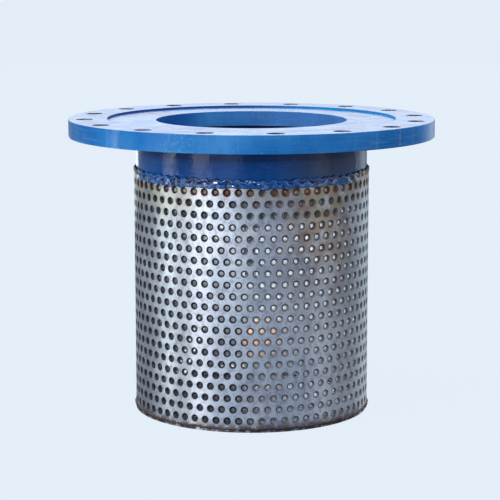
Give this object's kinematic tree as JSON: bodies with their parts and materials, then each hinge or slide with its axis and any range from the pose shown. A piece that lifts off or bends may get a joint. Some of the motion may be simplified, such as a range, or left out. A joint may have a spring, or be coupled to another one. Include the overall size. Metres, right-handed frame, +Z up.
{
  "type": "foot valve",
  "caption": "Flanged foot valve: a blue painted flange and neck with a gravity-closing lift disc inside, over a perforated stainless steel strainer basket.",
  "frame": {"origin": "centre of the strainer's underside, where the valve stands", "axes": "+Z up along the valve's axis, towards the flange's top face; +X and +Y level, with one bolt hole 7.6 degrees from +X"},
  "size_m": [0.565, 0.565, 0.454],
  "materials": {
    "blue_paint": "thick gloss enamel with runs and a soft orange-peel surface",
    "perforated_sheet": "rolled mill finish, heat-tinted near the welds",
    "stainless": "stainless steel, turned, cold-drawn or cut from plate",
    "steel_disc": "dark epoxy over steel",
    "bronze": "turned bronze",
    "rubber": "matt black sheet rubber"
  },
  "bodies": {
    "root": {"flange": "blue_paint", "neck": "blue_paint", "seat_ring": "blue_paint", "seat_insert": "bronze", "guide_spider": "stainless", "guide_bush": "bronze", "strainer_shell": "perforated_sheet", "strainer_bottom": "perforated_sheet"},
    "disc_assembly": {"valve_disc": "steel_disc", "disc_seal": "rubber", "seal_retainer": "stainless", "retainer_screw_1": "stainless", "retainer_screw_2": "stainless", "retainer_screw_3": "stainless", "retainer_screw_4": "stainless", "retainer_screw_5": "stainless", "retainer_screw_6": "stainless", "guide_stem": "stainless", "stem_washer": "stainless", "stem_nut": "stainless", "stop_washer": "stainless", "stop_nut": "stainless", "split_pin": "stainless"}
  },
  "joints": [
    {"name": "disc_lift", "type": "slide", "parent": "root", "child": "disc_assembly", "axis": [0, 0, 1], "range_m": [0, 0.045]}
  ]
}
